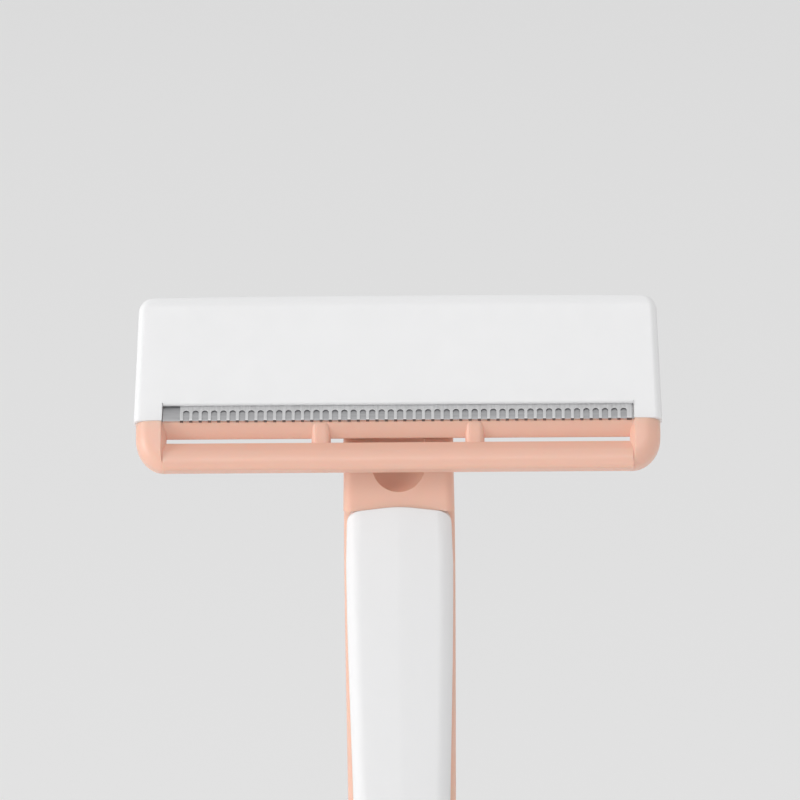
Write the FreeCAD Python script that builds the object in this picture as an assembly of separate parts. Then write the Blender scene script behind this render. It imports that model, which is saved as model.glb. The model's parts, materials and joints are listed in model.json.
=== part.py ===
import FreeCAD, Part

import math
import os

# A cartridge razor that stands upright on the flat end of its handle.
# Units are millimetres. +Z runs up the handle, the shaving side faces -Y, and X runs along the blade.
# The origin is the centre of the flat end face of the handle.
# Each piece is a separate solid, or a few separate solids of one kind, in its own STEP file.

Vector = FreeCAD.Vector

# ---- driving dimensions: cartridge ----
FACE_TILT = 27.0             # lean of the shaving plane, back from upright, in degrees
FACE_Y = -4.9                # where the shaving plane meets the seam of cap and frame
FACE_Z = 121.5
CAP_HALF_WIDTH = 21.3        # at the seam
CAP_TOP_HALF_WIDTH = 20.9
CAP_CORNER_Z = 10.5          # height of the top corners over the seam, up the shaving plane
CAP_TOP_Z = 10.8             # crown in the middle of the top edge
LIP_Z = 1.3                  # lower edge of the cap over the blade
LIP_ROUND = 0.2
BAY_HALF_WIDTH = 19.0        # opening between the two legs of the cap
BACK_OFFSET = 1.65           # depth of the cartridge at the seam
BLADE_ANGLE = 22.0           # blade against shaving plane, in degrees
BLADE_EDGE_Y = 0.05
BLADE_DEPTH = 5.5
BLADE_THICKNESS = 0.15
BEVEL = 0.32
COMB_THICKNESS = 0.12
COMB_LEFT = -17.55
COMB_RIGHT = 18.85
COMB_DEPTH = 4.6
WINDOWS = 48
WINDOW_FIRST = -17.04
WINDOW_LAST = 18.19
WINDOW_WIDTH = 0.5
WINDOW_TOP = 0.92
CHEEK_HALF_WIDTH = 21.15
CHEEK_INNER = 19.1
BAR_BOTTOM = -4.03
BAR_TOP = -1.67
BAR_BACK = 2.2
BAND_BOTTOM = -1.26
RIB_X = 6.2
RIB_WIDTH = 1.55
POST_X = (-15.0, -7.5, 7.5, 15.0)
POST_RADIUS = 0.75
POST_UP_BLADE = 3.4

# ---- driving dimensions: pivot and return plunger ----
PIVOT_Y = -1.2
PIVOT_Z = 120.9
PIN_RADIUS = 0.55
PIN_CLEARANCE = 0.05
KNUCKLE_RADIUS = 1.1
LUG_INNER = 1.75
LUG_OUTER = 2.85
EAR_INNER = 3.05
EAR_OUTER = 4.2
HEEL_Y = 0.75
HEEL_Z = 123.3
HEEL_RADIUS = 0.6
PLUNGER_Y = 1.25
PLUNGER_RADIUS = 0.9
PLUNGER_TOP = 122.67

# ---- driving dimensions: neck and handle ----
SEAM_Z = 117.2               # foot of the connector on top of the neck
CONNECTOR_TOP = 119.6
NECK_HALF_WIDTH = 4.5
SIDE_DRAFT = 0.5             # how much narrower the back is than the front, on each side
NECK_FRONT = -3.5
NECK_BACK = 3.9
NECK_ROUND = 0.8
BACK_ROUND = 2.2
SEAT_Y = -2.3                # flat seat of the front cover
SEAT_ROUND = 0.9
SCOOP_RADIUS = 2.35
SCOOP_Y = -4.45
SCOOP_FOOT = 117.35
COVER_PEAK = 114.07           # middle of the cover's low-pitched top edge
COVER_PEAK_ROUND = 10.0
COVER_PITCH = 0.12           # fall of the top edge per millimetre to either side
COVER_CORNER_X = 4.2
COVER_CORNER_ROUND = 1.3
COVER_RIDGE = -3.78
COVER_SIDE = -3.62
COVER_ROUND = 1.25
REAR_TOP = 111.5
REAR_FOOT = 7.0
REAR_HALF_WIDTH = 3.4
REAR_FOOT_ROUND = 3.2
REAR_TOP_ROUND = 1.2
REAR_SEAT_Y = 2.4
STRAIGHT_FOOT = 80.0         # the back of the handle is flat above this height

# ---- driving dimensions: dock and release ----
DOCK_HALF_WIDTH = 2.8
DOCK_FRONT = -1.4
DOCK_BACK = 3.0
DOCK_TOP = 119.5
DOCK_FOOT = 99.0
DOCK_CLEARANCE = 0.05
CHANNEL_HALF_WIDTH = 3.55
CHANNEL_FOOT = 86.0
PRONG_INNER = 2.95
PRONG_OUTER = 3.45
PRONG_FRONT = 0.2
PRONG_BACK = 1.8
FORK_BACK = 2.2              # where the slider's stem meets the fork's tongue
BRIDGE_FOOT = 90.0
BRIDGE_TOP = 93.0
BORE_RADIUS = 1.3
SHOULDER_Z = 111.6
PLUG_FOOT = 102.0
PLUG_TOP = 105.0
RELEASE_TRAVEL = 3.0
STEM_HALF_WIDTH = 1.0
STEM_FOOT = 90.4
STEM_TOP = 92.6
PAD_HALF_WIDTH = 2.6
PAD_FOOT = 84.5
PAD_TOP = 98.5
PAD_INNER = NECK_BACK + 0.1
PAD_OUTER = NECK_BACK + 1.2

# ---- driving dimensions: screws ----
SCREW_RADIUS = 0.7
SCREW_HEAD_RADIUS = 1.4
SCREW_HEAD_HEIGHT = 0.8
SCREW_HEIGHTS = (22.0, 68.0)
DOCK_SCREW_Z = 100.5
DOCK_SCREW_END = -0.2
BOSS_RADIUS = 1.7
BOSS_FRONT = 0.4

# ---- how the handle's form runs with height ----
# Each pair is (height, value): half width, depth to the back, half width and rise of the front cover.
HALF_WIDTHS = [(0.0, 4.9), (6.0, 5.2), (30.0, 5.7), (84.0, 4.48), (110.0, 4.6), (SEAM_Z, NECK_HALF_WIDTH)]
BACKS = [(0.0, 4.3), (34.0, 5.0), (80.0, NECK_BACK), (SEAM_Z, NECK_BACK)]
COVER_HALF_WIDTHS = [(0.0, 4.3), (30.0, 4.75), (80.0, 3.85), (110.0, 4.35), (SEAM_Z, 4.3)]
COVER_RISES = [(0.0, 0.0), (34.0, 0.45), (80.0, 0.0), (SEAM_Z, 0.0)]
FOOT_ROUND = 1.2
COVER_LOFT_TOP = 115.0
STATIONS_FOOT = [0.0, 0.15, 0.4, 0.75, FOOT_ROUND]
STATIONS_BELOW = [FOOT_ROUND, 6.0, 14.0, 24.0, 34.0, 46.0, 58.0, 70.0, STRAIGHT_FOOT]
STATIONS_ABOVE = [STRAIGHT_FOOT, 87.0, 97.0, 107.0, SEAM_Z]

# ---- worked out from them ----
SLOPE = math.tan(math.radians(BLADE_ANGLE))
STEEP = 1.0 / math.cos(math.radians(BLADE_ANGLE))
STAKE_HEIGHT = 0.3
PLATE_BACK_OUT = (BLADE_EDGE_Y - BACK_OFFSET) / STEEP   # the cartridge's back, measured out of the blade
REAR_OUTLINE = [             # (x, z) of the rear cover's edge
    (-REAR_HALF_WIDTH, REAR_FOOT, REAR_FOOT_ROUND),
    (REAR_HALF_WIDTH, REAR_FOOT, REAR_FOOT_ROUND),
    (REAR_HALF_WIDTH, REAR_TOP, REAR_TOP_ROUND),
    (-REAR_HALF_WIDTH, REAR_TOP, REAR_TOP_ROUND),
]


# ---- drawing helpers ----
def outline(corners, place):
    """Closed wire through corners (a, b) or (a, b, radius); place turns (a, b) into a point."""
    count = len(corners)
    stops = []
    for index, corner in enumerate(corners):
        here = Vector(corner[0], corner[1], 0)
        radius = corner[2] if len(corner) > 2 else 0.0
        if radius == 0.0:
            stops.append((here,))
            continue
        before = corners[index - 1]
        after = corners[(index + 1) % count]
        to_before = (Vector(before[0], before[1], 0) - here).normalize()
        to_after = (Vector(after[0], after[1], 0) - here).normalize()
        half = to_before.getAngle(to_after) / 2.0
        bisector = (to_before + to_after).normalize()
        reach = radius / math.tan(half)
        centre = here + bisector * (radius / math.sin(half))
        stops.append((here + to_before * reach, centre - bisector * radius, here + to_after * reach))
    edges = []
    for index, stop in enumerate(stops):
        points = [place(p.x, p.y) for p in stop]
        if len(points) == 3:
            edges.append(Part.Arc(*points).toShape())
        start = points[-1]
        end = stops[(index + 1) % count][0]
        edges.append(Part.LineSegment(start, place(end.x, end.y)).toShape())
    return Part.Wire(edges)


def prism(corners, axis, low, high):
    """Solid with the given outline, from low to high along 'x' (y, z), 'y' (x, z) or 'z' (x, y)."""
    places = {
        "x": lambda a, b: Vector(low, a, b),
        "y": lambda a, b: Vector(a, low, b),
        "z": lambda a, b: Vector(a, b, low),
    }
    ways = {"x": Vector(1, 0, 0), "y": Vector(0, 1, 0), "z": Vector(0, 0, 1)}
    return Part.Face(outline(corners, places[axis])).extrude(ways[axis] * (high - low))


def box(x0, x1, y0, y1, z0, z1):
    return Part.makeBox(x1 - x0, y1 - y0, z1 - z0, Vector(x0, y0, z0))


def rod(start, end, radius):
    """Round bar between two points."""
    start = Vector(*start)
    way = Vector(*end) - start
    return Part.makeCylinder(radius, way.Length, start, way)


def mirrored(shape):
    return shape.mirror(Vector(0, 0, 0), Vector(1, 0, 0))


def fused(shapes):
    return shapes[0].multiFuse(shapes[1:]).removeSplitter()


def lofted(section, stations):
    """Smooth solid through the wires that section gives at the heights in stations."""
    return Part.makeLoft([section(z) for z in stations], True, False)


def coil(radius, wire_radius, turns, foot, top, x, y):
    """Compression spring with its axis upright."""
    rise = top - foot - 2.0 * wire_radius
    helix = Part.makeHelix(rise / turns, rise, radius)
    section = Part.Wire(Part.makeCircle(wire_radius, Vector(radius, 0, 0), Vector(0, 1, 0)))
    spring = Part.Wire(helix.Edges).makePipeShell([section], True, True)
    spring.translate(Vector(x, y, foot + wire_radius))
    return spring


def ramp(table, height):
    """Smooth value at a height between the (height, value) stations of a table."""
    for (low, first), (high, second) in zip(table, table[1:]):
        if low <= height <= high:
            share = (height - low) / (high - low)
            return first + (second - first) * (1.0 - math.cos(math.pi * share)) / 2.0
    return table[-1][1]


# ---- the cartridge is drawn in its own frame and then seated ----
# In that frame Y runs into the cartridge from the shaving plane, and Z runs up the plane.
def seated(shape):
    shape.rotate(Vector(0, 0, 0), Vector(1, 0, 0), -FACE_TILT)
    shape.translate(Vector(0, FACE_Y, FACE_Z))
    return shape


def unseated(y, z):
    """A point of the standing razor, in the cartridge's own frame."""
    tilt = math.radians(FACE_TILT)
    dy = y - FACE_Y
    dz = z - FACE_Z
    return dy * math.cos(tilt) - dz * math.sin(tilt), dy * math.sin(tilt) + dz * math.cos(tilt)


def blade_point(up, out):
    """Cartridge point that lies up the blade from its edge and out of the blade's outer side."""
    angle = math.radians(BLADE_ANGLE)
    y = BLADE_EDGE_Y + up * math.sin(angle) - out * math.cos(angle)
    z = up * math.cos(angle) + out * math.sin(angle)
    return y, z


def on_blade(z, out):
    """Depth of the plane that lies out of the blade's outer side, at height z."""
    return BLADE_EDGE_Y + SLOPE * z - STEEP * out


def back_depth(z):
    return BACK_OFFSET + SLOPE * z


def post_bar(x, radius, inner, outer):
    """Round bar square to the blade, between two distances from its outer side."""
    start = blade_point(POST_UP_BLADE, inner)
    end = blade_point(POST_UP_BLADE, outer)
    return rod((x, start[0], start[1]), (x, end[0], end[1]), radius)


def head_cap():
    """Upper shell: face, crown and two legs, clamping the comb and blade, with four staked posts."""
    front = prism(
        [
            (-CAP_HALF_WIDTH, 0.0),
            (-CAP_TOP_HALF_WIDTH, CAP_CORNER_Z, 1.35),
            (0.0, CAP_TOP_Z, 900.0),
            (CAP_TOP_HALF_WIDTH, CAP_CORNER_Z, 1.35),
            (CAP_HALF_WIDTH, 0.0),
        ],
        "y", 0.0, 7.0,
    )
    side = prism(
        [
            (0.0, 0.0),
            (0.0, CAP_TOP_Z, 1.3),
            (back_depth(CAP_TOP_Z), CAP_TOP_Z, 1.0),
            (back_depth(0.0), 0.0),
        ],
        "x", -25.0, 25.0,
    )
    shell = front.common(side)
    flanks = [
        edge for edge in shell.Edges
        if edge.BoundBox.YMax < 0.01 and edge.BoundBox.ZLength > 5.0
    ]
    shell = shell.makeFillet(0.6, flanks)
    clamp_top = 5.6
    wall = 1.2
    bay = prism(
        [
            (-1.0, LIP_Z + 1.0),
            (0.0, LIP_Z + 1.0),
            (0.0, LIP_Z, LIP_ROUND),
            (on_blade(LIP_Z, COMB_THICKNESS), LIP_Z),
            (on_blade(clamp_top, COMB_THICKNESS), clamp_top),
            (wall, clamp_top),
            (wall, CAP_TOP_Z - wall),
            (8.0, CAP_TOP_Z - wall),
            (8.0, -1.0),
            (-1.0, -1.0),
        ],
        "x", -BAY_HALF_WIDTH, BAY_HALF_WIDTH,
    )
    shell = shell.cut(bay)
    posts = []
    for x in POST_X:
        posts.append(post_bar(x, POST_RADIUS, 0.4, PLATE_BACK_OUT))
        posts.append(post_bar(x, POST_RADIUS + 0.4, PLATE_BACK_OUT, PLATE_BACK_OUT - STAKE_HEIGHT))
    return seated(fused([shell] + posts))


def razor_blade():
    """Single blade with a ground edge, held by four posts."""
    half = BAY_HALF_WIDTH - 0.05
    corners = [
        blade_point(0.0, -BLADE_THICKNESS / 2.0),
        blade_point(BEVEL, 0.0),
        blade_point(BLADE_DEPTH, 0.0),
        blade_point(BLADE_DEPTH, -BLADE_THICKNESS),
        blade_point(BEVEL, -BLADE_THICKNESS),
    ]
    blade = prism(corners, "x", -half, half)
    holes = [post_bar(x, POST_RADIUS + 0.05, 1.0, -1.0) for x in POST_X]
    return seated(blade.cut(Part.makeCompound(holes)))


def comb_guard():
    """Thin steel comb on the blade: a row of fingers whose tips hook round the edge."""
    tip = 0.07
    gap = 0.01
    hook = 0.2
    corners = [
        blade_point(COMB_DEPTH, 0.0),
        blade_point(COMB_DEPTH, COMB_THICKNESS),
        blade_point(-tip, COMB_THICKNESS) + (0.08,),
        blade_point(-tip, -hook),
        blade_point(-gap, -hook),
        blade_point(-gap, 0.0),
    ]
    comb = prism(corners, "x", COMB_LEFT, COMB_RIGHT)
    angle = math.radians(BLADE_ANGLE)
    along = Vector(0, math.sin(angle), math.cos(angle))
    outward = Vector(0, -math.cos(angle), math.sin(angle))
    edge = Vector(0, BLADE_EDGE_Y, 0)
    pitch = (WINDOW_LAST - WINDOW_FIRST) / (WINDOWS - 1)
    half = WINDOW_WIDTH / 2.0
    windows = []
    for index in range(WINDOWS):
        centre = edge + Vector(WINDOW_FIRST + pitch * index, 0, 0) - outward
        corner = centre - Vector(half, 0, 0) - along
        window = Part.makePolygon(
            [
                corner,
                corner + Vector(WINDOW_WIDTH, 0, 0),
                corner + Vector(WINDOW_WIDTH, 0, 0) + along * (WINDOW_TOP - half + 1.0),
            ]
        )
        arch = Part.Arc(
            centre + Vector(half, 0, 0) + along * (WINDOW_TOP - half),
            centre + along * WINDOW_TOP,
            centre - Vector(half, 0, 0) + along * (WINDOW_TOP - half),
        ).toShape()
        side = Part.LineSegment(centre - Vector(half, 0, 0) + along * (WINDOW_TOP - half), corner).toShape()
        wire = Part.Wire(window.Edges + [arch, side])
        windows.append(Part.Face(wire).extrude(outward * 2.0))
    holes = [post_bar(x, POST_RADIUS + 0.05, 1.0, -1.0) for x in POST_X]
    return seated(comb.cut(Part.makeCompound(windows + holes)))


def blade_frame():
    """Lower frame: seat plate behind the blade, washed-through slots, guard bar, cheeks and pivot lugs."""
    plate_top = CAP_TOP_Z - 1.25
    half = BAY_HALF_WIDTH - 0.05
    plate = prism(
        [
            (on_blade(plate_top, -BLADE_THICKNESS), plate_top),
            (on_blade(0.15, -BLADE_THICKNESS), 0.15),
            (0.34, -0.12, 0.06),
            (1.25, BAND_BOTTOM, 0.12),
            (1.7, BAND_BOTTOM + 0.13, 0.12),
            (back_depth(0.6), 0.6),
            (back_depth(plate_top), plate_top),
        ],
        "x", -half, half,
    )
    bar_outline = [
        (0.9, BAR_TOP, 0.15),
        (0.0, -3.0, 1.5),
        (0.42, BAR_BOTTOM, 0.4),
        (1.7, BAR_BOTTOM, 0.6),
        (BAR_BACK, -3.55, 0.4),
        (BAR_BACK, BAR_TOP - 0.05, 0.3),
    ]
    bar = prism(bar_outline, "x", -half, half)
    cheek_face = prism(
        [
            (18.3, 0.0),
            (CHEEK_HALF_WIDTH, 0.0),
            (CHEEK_HALF_WIDTH, BAR_BOTTOM, 2.8),
            (18.3, BAR_BOTTOM),
        ],
        "y", -1.0, 5.0,
    )
    cheek_side = prism(
        [
            (0.0, 0.0),
            (0.0, BAR_BOTTOM),
            (BAR_BACK, BAR_BOTTOM, 0.7),
            (BAR_BACK + 0.1, -0.8, 0.6),
            (back_depth(0.0), 0.0),
        ],
        "x", 18.0, 22.0,
    )
    cheek_plan = prism(
        [(CHEEK_INNER, 0.0), (22.0, 0.0), (22.0, 5.0), (18.7, 5.0), (18.7, 0.9)],
        "z", BAR_BOTTOM - 1.0, 0.0,
    )
    cheek = cheek_face.common(cheek_side).common(cheek_plan)
    rim = [
        edge for edge in cheek.Edges
        if edge.BoundBox.YMax < 0.01 and edge.BoundBox.ZMin < -0.01 and edge.BoundBox.XMax > 19.3
    ]
    cheek = cheek.makeFillet(1.3, rim)
    rib_side = prism(
        [
            (0.3, -0.08, 0.2),
            (0.94, -2.0),
            (1.9, -2.0),
            (back_depth(0.3), 0.3),
            (on_blade(0.15, -0.2), 0.1),
        ],
        "x", -RIB_WIDTH / 2.0, RIB_WIDTH / 2.0,
    )
    brow = [
        edge for edge in rib_side.Edges
        if edge.BoundBox.XLength < 0.01 and edge.BoundBox.YMax < 1.0 and edge.BoundBox.ZLength > 1.0
    ]
    rib = rib_side.makeFillet(0.5, brow)
    ribs = []
    for x in (-RIB_X, RIB_X):
        placed = rib.copy()
        placed.translate(Vector(x, 0, 0))
        ribs.append(placed)

    pivot = unseated(PIVOT_Y, PIVOT_Z)
    heel = unseated(HEEL_Y, HEEL_Z)
    lug_shapes = []
    for low, high in ((LUG_INNER, LUG_OUTER), (-LUG_OUTER, -LUG_INNER)):
        lug_shapes.append(rod((low, pivot[0], pivot[1]), (high, pivot[0], pivot[1]), KNUCKLE_RADIUS))
        lug_shapes.append(web(pivot, KNUCKLE_RADIUS, low, high))
    heel_shapes = [
        rod((-0.8, heel[0], heel[1]), (0.8, heel[0], heel[1]), HEEL_RADIUS),
        web(heel, HEEL_RADIUS, -0.8, 0.8),
    ]
    body = fused([plate, bar, cheek, mirrored(cheek)] + ribs + lug_shapes + heel_shapes)
    holes = [post_bar(x, POST_RADIUS, 1.0, -3.0) for x in POST_X]
    holes.append(rod((-5.0, pivot[0], pivot[1]), (5.0, pivot[0], pivot[1]), PIN_RADIUS + PIN_CLEARANCE))
    return seated(body.cut(Part.makeCompound(holes)))


def web(centre, radius, low, high):
    """Wall that joins a round boss behind the plate to the plate, square to it."""
    angle = math.radians(BLADE_ANGLE)
    along = (radius * math.sin(angle), radius * math.cos(angle))
    inward = (-math.cos(angle), math.sin(angle))
    depth = (centre[0] - back_depth(centre[1])) / STEEP + 0.4
    corners = [
        (centre[0] + along[0], centre[1] + along[1]),
        (centre[0] - along[0], centre[1] - along[1]),
        (centre[0] - along[0] + inward[0] * depth, centre[1] - along[1] + inward[1] * depth),
        (centre[0] + along[0] + inward[0] * depth, centre[1] + along[1] + inward[1] * depth),
    ]
    return prism(corners, "x", low, high)


# ---- connector ----
def neck_section():
    return [
        (-NECK_HALF_WIDTH, NECK_FRONT, NECK_ROUND),
        (NECK_HALF_WIDTH, NECK_FRONT, NECK_ROUND),
        (NECK_HALF_WIDTH - SIDE_DRAFT, NECK_BACK, BACK_ROUND),
        (-NECK_HALF_WIDTH + SIDE_DRAFT, NECK_BACK, BACK_ROUND),
    ]


def scoop():
    """Hollow down the front of the neck, with a round foot."""
    channel = rod((0, SCOOP_Y, SCOOP_FOOT), (0, SCOOP_Y, SCOOP_FOOT + 10.0), SCOOP_RADIUS)
    return fused([channel, Part.makeSphere(SCOOP_RADIUS, Vector(0, SCOOP_Y, SCOOP_FOOT))])


def connector():
    """Block that docks on the handle and carries the two ears of the pivot."""
    block = prism(neck_section(), "z", SEAM_Z, CONNECTOR_TOP)
    ears = []
    front = PIVOT_Y - KNUCKLE_RADIUS
    back = PIVOT_Y + KNUCKLE_RADIUS
    for low, high in ((EAR_INNER, EAR_OUTER), (-EAR_OUTER, -EAR_INNER)):
        ears.append(box(low, high, front, back, CONNECTOR_TOP, PIVOT_Z))
        ears.append(rod((low, PIVOT_Y, PIVOT_Z), (high, PIVOT_Y, PIVOT_Z), KNUCKLE_RADIUS))
    gap = DOCK_CLEARANCE
    socket = box(
        -DOCK_HALF_WIDTH - gap, DOCK_HALF_WIDTH + gap, DOCK_FRONT - gap, DOCK_BACK + gap,
        SEAM_Z - 1.0, CONNECTOR_TOP + 1.0,
    )
    holes = rod((-5.0, PIVOT_Y, PIVOT_Z), (5.0, PIVOT_Y, PIVOT_Z), PIN_RADIUS)
    return fused([block] + ears).cut(Part.makeCompound([socket, holes, scoop()]))


def pivot_pins():
    """Two short steel pins, pressed into the ears."""
    pins = []
    for inner, outer in ((LUG_INNER, EAR_OUTER), (-EAR_OUTER, -LUG_INNER)):
        pins.append(rod((inner, PIVOT_Y, PIVOT_Z), (outer, PIVOT_Y, PIVOT_Z), PIN_RADIUS))
    return Part.makeCompound(pins)


# ---- dock, plunger and springs ----
def dock_block():
    """Metal insert in the neck: its stub carries the cartridge and its bore guides the plunger."""
    block = box(-DOCK_HALF_WIDTH, DOCK_HALF_WIDTH, DOCK_FRONT, DOCK_BACK, DOCK_FOOT, DOCK_TOP)
    guide = rod((0, PLUNGER_Y, DOCK_FOOT - 1.0), (0, PLUNGER_Y, DOCK_TOP + 1.0), PLUNGER_RADIUS + 0.04)
    chamber = rod((0, PLUNGER_Y, PLUG_FOOT), (0, PLUNGER_Y, SHOULDER_Z), BORE_RADIUS)
    entry = rod((0, PLUNGER_Y, DOCK_FOOT - 1.0), (0, PLUNGER_Y, PLUG_FOOT), BORE_RADIUS)
    screw_hole = rod((0, -5.0, DOCK_SCREW_Z), (0, DOCK_SCREW_END, DOCK_SCREW_Z), SCREW_RADIUS)
    return block.cut(Part.makeCompound([guide, chamber, entry, screw_hole]))


def return_plunger():
    """Round plunger that presses on the cartridge's heel; its collar stops at the chamber's shoulder."""
    shaft = rod((0, PLUNGER_Y, SHOULDER_Z - 0.9), (0, PLUNGER_Y, PLUNGER_TOP), PLUNGER_RADIUS)
    rim = [edge for edge in shaft.Edges if edge.BoundBox.ZMin > PLUNGER_TOP - 0.01]
    shaft = shaft.makeFillet(0.25, rim)
    collar = rod((0, PLUNGER_Y, SHOULDER_Z - 0.9), (0, PLUNGER_Y, SHOULDER_Z - 0.02), BORE_RADIUS - 0.05)
    return fused([shaft, collar])


def plunger_spring():
    return coil(0.95, 0.15, 7, PLUG_TOP, SHOULDER_Z - 0.9, 0.0, PLUNGER_Y)


def spring_plug():
    """Plug that closes the chamber under the spring."""
    return rod((0, PLUNGER_Y, PLUG_FOOT), (0, PLUNGER_Y, PLUG_TOP), BORE_RADIUS)


def screw(z, end):
    """Countersunk screw from the front cover's seat into the handle, with a cross recess."""
    head = Part.makeCone(
        SCREW_HEAD_RADIUS, SCREW_RADIUS, SCREW_HEAD_HEIGHT, Vector(0, SEAT_Y, z), Vector(0, 1, 0)
    )
    shank = rod((0, SEAT_Y + SCREW_HEAD_HEIGHT / 2.0, z), (0, end, z), SCREW_RADIUS)
    recess_depth = 0.4
    arm = 0.75
    slot = 0.15
    cross = [
        box(-arm, arm, SEAT_Y - 0.1, SEAT_Y + recess_depth, z - slot, z + slot),
        box(-slot, slot, SEAT_Y - 0.1, SEAT_Y + recess_depth, z - arm, z + arm),
    ]
    return fused([head, shank]).cut(fused(cross))


def screw_space(z, end):
    head = Part.makeCone(
        SCREW_HEAD_RADIUS, SCREW_RADIUS, SCREW_HEAD_HEIGHT, Vector(0, SEAT_Y, z), Vector(0, 1, 0)
    )
    return fused([head, rod((0, SEAT_Y, z), (0, end, z), SCREW_RADIUS)])


def dock_screw():
    return screw(DOCK_SCREW_Z, DOCK_SCREW_END)


def cover_screws():
    return Part.makeCompound([screw(z, 2.0) for z in SCREW_HEIGHTS])


# ---- handle ----
def handle_section(z, front):
    inset = 0.0
    if z < FOOT_ROUND:
        inset = FOOT_ROUND - math.sqrt(FOOT_ROUND ** 2 - (FOOT_ROUND - z) ** 2)
    half = ramp(HALF_WIDTHS, z) - inset
    back = ramp(BACKS, z) - inset
    front_round = NECK_ROUND if front == NECK_FRONT else SEAT_ROUND
    corners = [
        (-half, front + inset, front_round),
        (half, front + inset, front_round),
        (half - SIDE_DRAFT, back, BACK_ROUND),
        (-half + SIDE_DRAFT, back, BACK_ROUND),
    ]
    return outline(corners, lambda a, b: Vector(a, b, z))


def grip_section(z):
    return handle_section(z, SEAT_Y)


def grip():
    """Form of the handle behind the front cover's seat, from the rounded foot up to the connector."""
    return fused([lofted(grip_section, STATIONS_BELOW), lofted(grip_section, STATIONS_ABOVE)])


def handle_blank():
    """Outer form of the handle without its front cover, and of the neck above the cover."""
    foot = lofted(grip_section, STATIONS_FOOT)
    neck_front = lofted(lambda z: handle_section(z, NECK_FRONT), (107.0, 112.0, SEAM_Z))
    over_cover = prism(
        [
            (-8.0, COVER_PEAK - 8.0 * COVER_PITCH),
            (0.0, COVER_PEAK, COVER_PEAK_ROUND),
            (8.0, COVER_PEAK - 8.0 * COVER_PITCH),
            (8.0, SEAM_Z),
            (-8.0, SEAM_Z),
        ],
        "y", NECK_FRONT - 1.0, NECK_BACK + 1.0,
    )
    return fused([foot, grip(), neck_front.common(over_cover)])


def handle_core():
    """Moulded core: neck, channel for the dock and release parts, and seats for the two covers."""
    blank = handle_blank()
    gap = 0.1
    cuts = [
        prism(REAR_OUTLINE, "y", REAR_SEAT_Y, 9.0),
        box(-DOCK_HALF_WIDTH, DOCK_HALF_WIDTH, DOCK_FRONT, DOCK_BACK, DOCK_FOOT, SEAM_Z + 1.0),
        box(
            -CHANNEL_HALF_WIDTH, CHANNEL_HALF_WIDTH, PRONG_FRONT - gap, PRONG_BACK + gap,
            CHANNEL_FOOT, SEAM_Z + 1.0,
        ),
        box(-DOCK_HALF_WIDTH, DOCK_HALF_WIDTH, DOCK_FRONT, REAR_SEAT_Y, CHANNEL_FOOT, DOCK_FOOT),
        scoop(),
        screw_space(DOCK_SCREW_Z, DOCK_FRONT + 0.1),
    ]
    for z in SCREW_HEIGHTS:
        cuts.append(screw_space(z, BOSS_FRONT + 0.1))
        cuts.append(rod((0, BOSS_FRONT, z), (0, REAR_SEAT_Y + 1.0, z), BOSS_RADIUS))
    for cut in cuts:
        blank = blank.cut(cut)
    return blank


def cover_section(z):
    rise = ramp(COVER_RISES, z)
    half = ramp(COVER_HALF_WIDTHS, z)
    side = COVER_SIDE - rise
    ridge = COVER_RIDGE - rise
    corners = [
        (-half, SEAT_Y),
        (half, SEAT_Y),
        (half, side, COVER_ROUND),
        (0.0, ridge, 6.0),
        (-half, side, COVER_ROUND),
    ]
    return outline(corners, lambda a, b: Vector(a, b, z))


def front_cover():
    """Front shell on the seat of the core: a very low roof with rounded edges and a pointed top edge."""
    below = lofted(cover_section, STATIONS_BELOW)
    above = lofted(cover_section, STATIONS_ABOVE[:-1] + [COVER_LOFT_TOP])
    foot = 1.6
    shoulder = COVER_PEAK - COVER_CORNER_X * COVER_PITCH
    face = prism(
        [
            (-5.6, foot, 3.2),
            (5.6, foot, 3.2),
            (5.6, 70.0),
            (COVER_CORNER_X, shoulder, COVER_CORNER_ROUND),
            (0.0, COVER_PEAK, COVER_PEAK_ROUND),
            (-COVER_CORNER_X, shoulder, COVER_CORNER_ROUND),
            (-5.6, 70.0),
        ],
        "y", -8.0, 0.0,
    )
    return fused([below, above]).common(face)


def rear_cover():
    """Panel let into the back, over the channel, with two screw bosses and a slot for the release stem."""
    panel = grip().common(prism(REAR_OUTLINE, "y", REAR_SEAT_Y, 9.0))
    dock_relief = box(-3.4, 3.4, 0.0, DOCK_BACK, DOCK_FOOT, REAR_TOP + 1.0)
    stem_slot = box(
        -STEM_HALF_WIDTH - 0.1, STEM_HALF_WIDTH + 0.1, 0.0, 9.0,
        STEM_FOOT - 0.1, STEM_TOP + RELEASE_TRAVEL + 0.1,
    )
    bosses = [rod((0, BOSS_FRONT, z), (0, REAR_SEAT_Y + 0.5, z), BOSS_RADIUS) for z in SCREW_HEIGHTS]
    holes = [rod((0, -1.0, z), (0, 2.0, z), SCREW_RADIUS) for z in SCREW_HEIGHTS]
    panel = panel.cut(Part.makeCompound([dock_relief, stem_slot]))
    return fused([panel] + bosses).cut(Part.makeCompound(holes))


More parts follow.
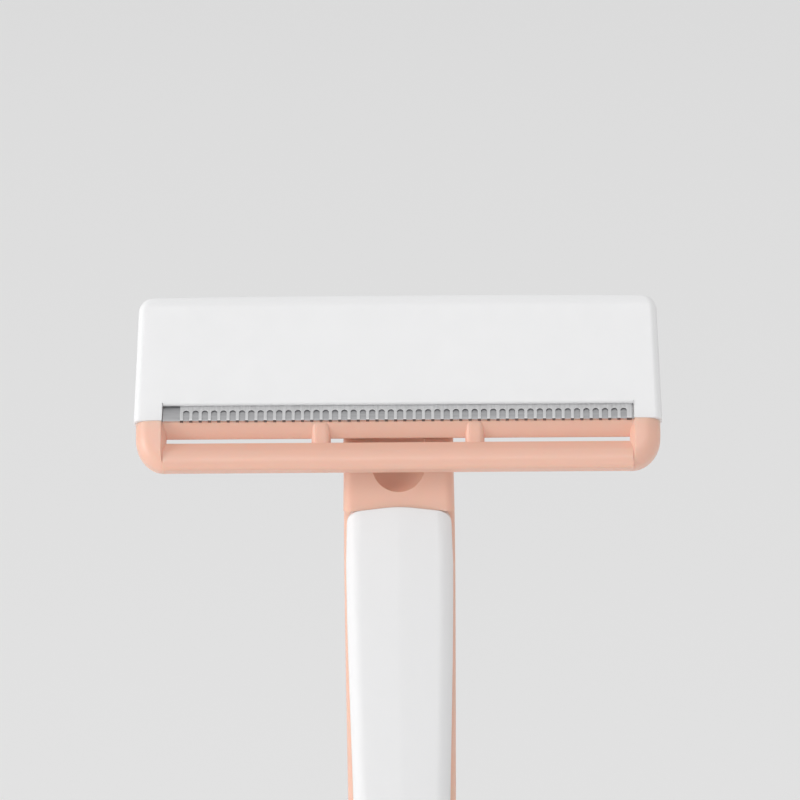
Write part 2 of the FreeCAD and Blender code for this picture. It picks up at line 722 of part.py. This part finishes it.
def release_slider():
    """Thumb slide on the back, with grip ridges and a stem through the rear cover."""
    pad = prism(
        [
            (PAD_INNER, PAD_FOOT),
            (PAD_INNER, PAD_TOP),
            (PAD_OUTER - 0.5, PAD_TOP, 0.3),
            (PAD_OUTER, PAD_TOP - 2.0, 1.5),
            (PAD_OUTER - 0.25, (PAD_FOOT + PAD_TOP) / 2.0, 12.0),
            (PAD_OUTER, PAD_FOOT + 2.0, 1.5),
            (PAD_OUTER - 0.5, PAD_FOOT, 0.3),
        ],
        "x", -PAD_HALF_WIDTH, PAD_HALF_WIDTH,
    )
    plan = prism(
        [
            (-PAD_HALF_WIDTH, PAD_FOOT, 2.0),
            (PAD_HALF_WIDTH, PAD_FOOT, 2.0),
            (PAD_HALF_WIDTH, PAD_TOP, 2.0),
            (-PAD_HALF_WIDTH, PAD_TOP, 2.0),
        ],
        "y", PAD_INNER, PAD_OUTER + 1.0,
    )
    ridges = []
    for index in range(5):
        z = (PAD_FOOT + PAD_TOP) / 2.0 + 1.6 * (index - 2)
        ridges.append(rod((-1.7, PAD_OUTER - 0.3, z), (1.7, PAD_OUTER - 0.3, z), 0.35))
    stem = box(-STEM_HALF_WIDTH, STEM_HALF_WIDTH, FORK_BACK, PAD_INNER, STEM_FOOT, STEM_TOP)
    return fused([pad.common(plan), stem] + ridges)


def ejector_fork():
    """Fork that carries the thumb's push past the dock to the foot of the connector."""
    bridge = box(-PRONG_OUTER, PRONG_OUTER, PRONG_FRONT, PRONG_BACK, BRIDGE_FOOT, BRIDGE_TOP)
    prongs = []
    for low, high in ((PRONG_INNER, PRONG_OUTER), (-PRONG_OUTER, -PRONG_INNER)):
        prongs.append(box(low, high, PRONG_FRONT, PRONG_BACK, BRIDGE_FOOT, SEAM_Z - 0.03))
    tongue = box(-STEM_HALF_WIDTH, STEM_HALF_WIDTH, PRONG_BACK, FORK_BACK, STEM_FOOT, STEM_TOP)
    return fused([bridge, tongue] + prongs)


def release_spring():
    """Spring between the fork and the foot of the dock."""
    return coil(1.1, 0.16, 6, BRIDGE_TOP, DOCK_FOOT, 0.0, 0.55)


PIECES = [
    head_cap, blade_frame, razor_blade, comb_guard,
    connector, pivot_pins,
    dock_block, dock_screw, return_plunger, plunger_spring, spring_plug,
    handle_core, front_cover, rear_cover, cover_screws,
    release_slider, ejector_fork, release_spring,
]

os.makedirs("parts", exist_ok=True)
for piece in PIECES:
    shape = piece()
    shape.exportStep("parts/" + piece.__name__ + ".step")
    print(piece.__name__, "valid", shape.isValid(), "solids", len(shape.Solids))
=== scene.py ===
import json
import math

import bpy
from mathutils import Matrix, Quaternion, Vector


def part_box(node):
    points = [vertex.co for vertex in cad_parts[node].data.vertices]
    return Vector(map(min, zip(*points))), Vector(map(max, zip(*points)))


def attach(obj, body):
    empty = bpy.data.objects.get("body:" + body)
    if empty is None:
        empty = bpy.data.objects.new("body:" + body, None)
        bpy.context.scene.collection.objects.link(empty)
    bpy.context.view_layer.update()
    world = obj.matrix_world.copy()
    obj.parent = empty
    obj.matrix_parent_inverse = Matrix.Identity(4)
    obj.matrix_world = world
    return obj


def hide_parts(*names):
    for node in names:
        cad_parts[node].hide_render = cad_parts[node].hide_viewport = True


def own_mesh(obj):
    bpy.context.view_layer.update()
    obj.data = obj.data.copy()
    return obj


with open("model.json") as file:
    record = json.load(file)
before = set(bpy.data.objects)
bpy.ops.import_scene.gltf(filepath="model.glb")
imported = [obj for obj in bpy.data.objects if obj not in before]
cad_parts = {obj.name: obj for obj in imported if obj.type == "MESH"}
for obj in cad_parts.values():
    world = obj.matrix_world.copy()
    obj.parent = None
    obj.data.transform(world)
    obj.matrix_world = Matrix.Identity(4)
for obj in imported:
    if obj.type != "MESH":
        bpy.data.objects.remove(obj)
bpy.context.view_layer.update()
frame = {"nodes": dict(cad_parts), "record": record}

nodes = frame["nodes"]
MM = 0.001


# ---- node helpers ----
MIX_COLOUR_A, MIX_COLOUR_B = 6, 7    # a mix node's colour inputs, by place, since several share a name
MIX_COLOUR_RESULT = 2
NOISE_LOW, NOISE_HIGH = 0.3, 0.7     # where most of a noise texture's values lie


def new_material(name):
    material = bpy.data.materials.new(name)
    material.use_nodes = True
    tree = material.node_tree
    tree.nodes.clear()
    shader = tree.nodes.new("ShaderNodeBsdfPrincipled")
    output = tree.nodes.new("ShaderNodeOutputMaterial")
    tree.links.new(shader.outputs["BSDF"], output.inputs["Surface"])
    return material, tree, shader


def set_inputs(shader, **values):
    for name, value in values.items():
        shader.inputs[name.replace("_", " ")].default_value = value


def coordinates(tree, scale=(1.0, 1.0, 1.0)):
    """Object coordinates in metres, times a scale."""
    source = tree.nodes.new("ShaderNodeTexCoord")
    mapping = tree.nodes.new("ShaderNodeMapping")
    mapping.inputs["Scale"].default_value = scale
    tree.links.new(source.outputs["Object"], mapping.inputs["Vector"])
    return mapping.outputs["Vector"]


def noise(tree, vector, scale, detail=2.0, roughness=0.5):
    node = tree.nodes.new("ShaderNodeTexNoise")
    node.inputs["Scale"].default_value = scale
    node.inputs["Detail"].default_value = detail
    node.inputs["Roughness"].default_value = roughness
    tree.links.new(vector, node.inputs["Vector"])
    return node.outputs["Fac"]


def remap(tree, value, low, high, out_low, out_high):
    node = tree.nodes.new("ShaderNodeMapRange")
    for socket, number in zip(("From Min", "From Max", "To Min", "To Max"), (low, high, out_low, out_high)):
        node.inputs[socket].default_value = number
    tree.links.new(value, node.inputs["Value"])
    return node.outputs["Result"]


def spread_noise(tree, value, out_low=0.0, out_high=1.0):
    return remap(tree, value, NOISE_LOW, NOISE_HIGH, out_low, out_high)


def mix_colours(tree, factor, first, second):
    node = tree.nodes.new("ShaderNodeMix")
    node.data_type = "RGBA"
    tree.links.new(factor, node.inputs["Factor"])
    for place, colour in ((MIX_COLOUR_A, first), (MIX_COLOUR_B, second)):
        if isinstance(colour, tuple):
            node.inputs[place].default_value = (*colour, 1.0)
        else:
            tree.links.new(colour, node.inputs[place])
    return node.outputs[MIX_COLOUR_RESULT]


def bump(tree, shader, height, distance):
    node = tree.nodes.new("ShaderNodeBump")
    node.inputs["Distance"].default_value = distance
    tree.links.new(height, node.inputs["Height"])
    tree.links.new(node.outputs["Normal"], shader.inputs["Normal"])


# ---- materials ----
FLOW_SCALE = 90.0          # noise cells per metre
MOTTLE_SCALE = 700.0
GRAIN_SCALE = 9000.0
FLOW_STRETCH = (1.0, 1.0, 0.35)
PLASTIC_IOR = 1.5
LIGHT_DEPTH = 1.2 * MM     # how far light travels inside the plastic
SCRATCH_TONE = 0.82        # a scratch's colour against the steel's
MOTTLE_SMOOTHER, MOTTLE_ROUGHER = 0.04, 0.05      # how far the roughness strays from its mean
SCRATCH_SMOOTHER, SCRATCH_ROUGHER = 0.06, 0.08

FACE_TILT = 27.0           # lean of the shaving plane, back from upright, in degrees
BLADE_ANGLE = 22.0         # blade and comb against the shaving plane, in degrees
EDGE_ON, FACE_ON = 0.3, 0.8    # a surface facing less is a window's edge, and more is a face
# painted shade: the dark colour given to the comb windows' cut edges, which stand edge-on to the sheet
WINDOW_EDGE_SHADE = (0.2, 0.2, 0.205)

FLOOR_DARK, FLOOR_LIGHT = (0.9, 0.9, 0.9), (0.91, 0.91, 0.91)


def moulded_plastic(name, colour, deep_colour, roughness, grain, subsurface, radius):
    """Satin moulded plastic: faint flow marks in the colour, fine spark-eroded grain in the surface."""
    material, tree, shader = new_material(name)
    vector = coordinates(tree)
    flow = spread_noise(tree, noise(tree, coordinates(tree, FLOW_STRETCH), FLOW_SCALE, detail=3.0))
    tree.links.new(mix_colours(tree, flow, colour, deep_colour), shader.inputs["Base Color"])
    mottle = noise(tree, vector, MOTTLE_SCALE)
    matte = spread_noise(tree, mottle, roughness - MOTTLE_SMOOTHER, roughness + MOTTLE_ROUGHER)
    tree.links.new(matte, shader.inputs["Roughness"])
    bump(tree, shader, noise(tree, vector, GRAIN_SCALE, detail=1.0), grain)
    set_inputs(shader, IOR=PLASTIC_IOR, Subsurface_Weight=subsurface, Subsurface_Scale=LIGHT_DEPTH)
    shader.inputs["Subsurface Radius"].default_value = radius
    return material


def ground_steel(name, colour, along, roughness, depth):
    """Steel with fine grinding lines across it; along is the scale per axis of the scratches."""
    material, tree, shader = new_material(name)
    scratches = noise(tree, coordinates(tree, along), 1.0, detail=4.0, roughness=0.6)
    darker = tuple(SCRATCH_TONE * channel for channel in colour)
    tone = mix_colours(tree, spread_noise(tree, scratches), colour, darker)
    tree.links.new(tone, shader.inputs["Base Color"])
    matte = spread_noise(tree, scratches, roughness - SCRATCH_SMOOTHER, roughness + SCRATCH_ROUGHER)
    tree.links.new(matte, shader.inputs["Roughness"])
    bump(tree, shader, scratches, depth)
    set_inputs(shader, Metallic=1.0)
    return material


def comb_sheet():
    """Bright ground sheet with painted shade on its windows' cut edges: faces turned away from the sheet's
    plane are coloured dark.
    """
    material = ground_steel(
        "comb_steel", colour=(0.86, 0.86, 0.865),
        along=(5000.0, 600.0, 600.0), roughness=0.44, depth=0.0006 * MM,
    )
    tree = material.node_tree
    shader = next(node for node in tree.nodes if node.type == "BSDF_PRINCIPLED")
    face = shader.inputs["Base Color"].links[0].from_socket
    surface = tree.nodes.new("ShaderNodeNewGeometry")
    facing = tree.nodes.new("ShaderNodeVectorMath")
    facing.operation = "DOT_PRODUCT"
    lean = math.radians(FACE_TILT + BLADE_ANGLE)
    facing.inputs[1].default_value = (0.0, -math.cos(lean), math.sin(lean))
    tree.links.new(surface.outputs["True Normal"], facing.inputs[0])
    size = tree.nodes.new("ShaderNodeMath")
    size.operation = "ABSOLUTE"
    tree.links.new(facing.outputs["Value"], size.inputs[0])
    flat = remap(tree, size.outputs["Value"], EDGE_ON, FACE_ON, out_low=0.0, out_high=1.0)
    # faces turned edge-on to the sheet take the painted edge shade colour, and the two faces keep the
    # steel's colour
    tree.links.new(mix_colours(tree, flat, WINDOW_EDGE_SHADE, face), shader.inputs["Base Color"])
    return material


def pale_floor():
    material, tree, shader = new_material("studio_floor")
    tone = spread_noise(tree, noise(tree, coordinates(tree), 2.0, detail=1.0))
    tree.links.new(mix_colours(tree, tone, FLOOR_DARK, FLOOR_LIGHT), shader.inputs["Base Color"])
    set_inputs(shader, Roughness=0.9)
    return material


pink = moulded_plastic(
    "pink_plastic", colour=(0.855, 0.53, 0.415), deep_colour=(0.845, 0.515, 0.4),
    roughness=0.36, grain=0.0015 * MM, subsurface=0.3, radius=(1.0, 0.4, 0.25),
)
white = moulded_plastic(
    "white_plastic", colour=(0.86, 0.86, 0.865), deep_colour=(0.85, 0.85, 0.855),
    roughness=0.4, grain=0.0012 * MM, subsurface=0.2, radius=(1.0, 1.0, 1.0),
)
acetal = moulded_plastic(
    "natural_acetal", colour=(0.8, 0.79, 0.74), deep_colour=(0.78, 0.77, 0.72),
    roughness=0.4, grain=0.0015 * MM, subsurface=0.2, radius=(1.0, 0.95, 0.85),
)
blade_steel = ground_steel(
    "blade_steel", colour=(0.6, 0.6, 0.61),
    along=(300.0, 9000.0, 9000.0), roughness=0.42, depth=0.0006 * MM,
)
comb_steel = comb_sheet()
drawn_steel = ground_steel(
    "fastener_steel", colour=(0.55, 0.55, 0.56),
    along=(3000.0, 3000.0, 3000.0), roughness=0.3, depth=0.002 * MM,
)
zinc = ground_steel(
    "cast_zinc", colour=(0.5, 0.51, 0.53),
    along=(1200.0, 1200.0, 1200.0), roughness=0.45, depth=0.004 * MM,
)

FINISH = {
    "pink_plastic": pink,
    "white_plastic": white,
    "blade_steel": blade_steel,
    "fastener_steel": drawn_steel,
    "cast_zinc": zinc,
    "natural_acetal": acetal,
}

for part in frame["record"]["subparts"]:
    node = nodes[part["node"]]
    node.data.materials.clear()
    node.data.materials.append(FINISH[part["material_slot"]])
nodes["comb_guard"].data.materials[0] = comb_steel


# ---- surfaces ----
EDGE_RADII = {
    "head_cap": 0.07 * MM,
    "connector": 0.08 * MM,
}
WELD_DISTANCE = 0.001 * MM
FLAT_ANGLE = math.radians(0.4)      # faces that meet at less are merged before a bevel
BEVEL_ANGLE = math.radians(35.0)    # edges sharper than this get their radius
CREASE_ANGLE = math.radians(30.0)   # edges sharper than this stay a crease on the other pieces
NORMAL_WEIGHT = 60


def finish_surface(piece, radius):
    """Smooth shading that keeps the creases; a piece with a radius has it on its sharp edges instead."""
    weld = piece.modifiers.new("weld", "WELD")
    weld.merge_threshold = WELD_DISTANCE
    for polygon in piece.data.polygons:
        polygon.use_smooth = True
    if radius > 0.0:
        merge = piece.modifiers.new("merge_flats", "DECIMATE")
        merge.decimate_type = "DISSOLVE"
        merge.angle_limit = FLAT_ANGLE
        edge = piece.modifiers.new("edge_radius", "BEVEL")
        edge.width = radius
        edge.segments = 2
        edge.limit_method = "ANGLE"
        edge.angle_limit = BEVEL_ANGLE
        edge.use_clamp_overlap = False
    else:
        crease = piece.modifiers.new("crease", "EDGE_SPLIT")
        crease.split_angle = CREASE_ANGLE
    normals = piece.modifiers.new("normals", "WEIGHTED_NORMAL")
    normals.keep_sharp = True
    normals.weight = NORMAL_WEIGHT


# ---- springs ----
WIRE_SIDES = 12
STEPS_PER_TURN = 28


def coil_mesh(name, centre, radius, wire, foot, top, turns):
    """Closed tube wound upright round a centre, between two heights; wire is the wire's own radius."""
    steps = STEPS_PER_TURN * turns
    rise = top - foot - 2.0 * wire
    vertices = []
    for step in range(steps + 1):
        share = step / steps
        angle = 2.0 * math.pi * turns * share
        outward = Vector((math.cos(angle), math.sin(angle), 0.0))
        along = Vector((
            -math.sin(angle) * radius,
            math.cos(angle) * radius,
            rise / (2.0 * math.pi * turns),
        )).normalized()
        upward = outward.cross(along)
        middle = Vector((centre[0], centre[1], foot + wire + rise * share)) + outward * radius
        for index in range(WIRE_SIDES):
            turn = 2.0 * math.pi * index / WIRE_SIDES
            vertices.append(middle + outward * wire * math.cos(turn) + upward * wire * math.sin(turn))
    faces = []
    for step in range(steps):
        low = step * WIRE_SIDES
        for index in range(WIRE_SIDES):
            after = (index + 1) % WIRE_SIDES
            faces.append((low + index, low + WIRE_SIDES + index, low + WIRE_SIDES + after, low + after))
    last = steps * WIRE_SIDES
    faces.append(tuple(range(WIRE_SIDES)))
    faces.append(tuple(reversed(range(last, last + WIRE_SIDES))))
    mesh = bpy.data.meshes.new(name)
    mesh.from_pydata(vertices, [], faces)
    return mesh


def spring(node_name, wire, turns):
    """Round-wire spring in the place of the solid one, carried with the handle."""
    low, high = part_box(node_name)
    centre = ((low.x + high.x) / 2, (low.y + high.y) / 2)
    mesh = coil_mesh(node_name + "_coil", centre, (high.x - low.x) / 2 - wire, wire, low.z, high.z, turns)
    mesh.materials.append(drawn_steel)
    for polygon in mesh.polygons:
        polygon.use_smooth = len(polygon.vertices) == 4
    piece = bpy.data.objects.new(node_name + "_coil", mesh)
    bpy.context.scene.collection.objects.link(piece)
    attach(piece, "handle")
    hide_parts(node_name)
    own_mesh(piece)


# ---- floor, camera, light (metres and watts) ----
FLOOR_HALF = 40.0

CAMERA_AZIMUTH = math.radians(0.9)
CAMERA_ELEVATION = math.radians(11.0)
CAMERA_ROLL = math.radians(0.55)
CAMERA_DISTANCE = 0.62
FIELD_WIDTH = 64.4 * MM     # what the picture's width covers at that distance
SENSOR_WIDTH = 36.0         # in mm, as Blender has it
SEAM_Y = -4.9 * MM          # front of the seam between cap and frame
SEAM_Z = 121.5 * MM
AIM_ABOVE_SEAM = 1.53 * MM
AIM_RIGHT_OF_SEAM = 0.2 * MM

WORLD_LIGHT = 0.64
LIGHT_AIM = (0.0, 0.0, 0.115)


def studio_floor():
    mesh = bpy.data.meshes.new("studio_floor")
    corners = [(-FLOOR_HALF, -FLOOR_HALF, 0), (FLOOR_HALF, -FLOOR_HALF, 0),
               (FLOOR_HALF, FLOOR_HALF, 0), (-FLOOR_HALF, FLOOR_HALF, 0)]
    mesh.from_pydata(corners, [], [(0, 1, 2, 3)])
    floor = bpy.data.objects.new("studio_floor", mesh)
    bpy.context.scene.collection.objects.link(floor)
    mesh.materials.append(pale_floor())


def photo_camera():
    """Long lens in front of the head, a little to its right and above it, with a small roll."""
    back = Vector((
        math.sin(CAMERA_AZIMUTH) * math.cos(CAMERA_ELEVATION),
        -math.cos(CAMERA_AZIMUTH) * math.cos(CAMERA_ELEVATION),
        math.sin(CAMERA_ELEVATION),
    ))
    low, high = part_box("blade_frame")
    seam = Vector(((low.x + high.x) / 2, SEAM_Y, SEAM_Z))
    right = Vector((math.cos(CAMERA_AZIMUTH), math.sin(CAMERA_AZIMUTH), 0.0))
    up = back.cross(right)
    target = seam + up * AIM_ABOVE_SEAM + right * AIM_RIGHT_OF_SEAM
    data = bpy.data.cameras.new("camera")
    data.sensor_width = SENSOR_WIDTH
    data.lens = SENSOR_WIDTH * CAMERA_DISTANCE / FIELD_WIDTH
    data.clip_start = 0.05
    data.clip_end = 60.0
    camera = bpy.data.objects.new("camera", data)
    camera.location = target + back * CAMERA_DISTANCE
    camera.rotation_mode = "QUATERNION"
    roll = Quaternion(back, -CAMERA_ROLL)
    camera.rotation_quaternion = roll @ (-back).to_track_quat("-Z", "Y")
    bpy.context.scene.collection.objects.link(camera)
    bpy.context.scene.camera = camera


def softbox(name, place, aim, size, watts):
    data = bpy.data.lights.new(name, "AREA")
    data.shape = "RECTANGLE"
    data.size, data.size_y = size
    data.energy = watts
    light = bpy.data.objects.new(name, data)
    light.location = place
    light.rotation_mode = "QUATERNION"
    light.rotation_quaternion = (Vector(aim) - Vector(place)).to_track_quat("-Z", "Y")
    bpy.context.scene.collection.objects.link(light)


def studio_light():
    bpy.context.scene.view_settings.view_transform = "Standard"
    world = bpy.data.worlds.new("studio")
    bpy.context.scene.world = world
    world.use_nodes = True
    surround = world.node_tree.nodes["Background"]
    surround.inputs["Color"].default_value = (1.0, 1.0, 1.0, 1.0)
    surround.inputs["Strength"].default_value = WORLD_LIGHT
    softbox("key", place=(-1.12, -0.42, 0.34), aim=LIGHT_AIM, size=(0.4, 0.5), watts=5.5)
    softbox("fill", place=(-0.15, -1.15, 1.1), aim=LIGHT_AIM, size=(0.6, 0.4), watts=3.1)
    softbox("backdrop", place=(0.0, 1.1, 1.5), aim=(0.0, 1.05, 0.0), size=(1.8, 1.8), watts=3.4)


# ---- build ----
studio_floor()
photo_camera()
studio_light()
for name, node in nodes.items():
    finish_surface(node, EDGE_RADII.get(name, 0.0))
spring("plunger_spring", wire=0.15 * MM, turns=7)
spring("release_spring", wire=0.16 * MM, turns=6)

bpy.context.view_layer.update()
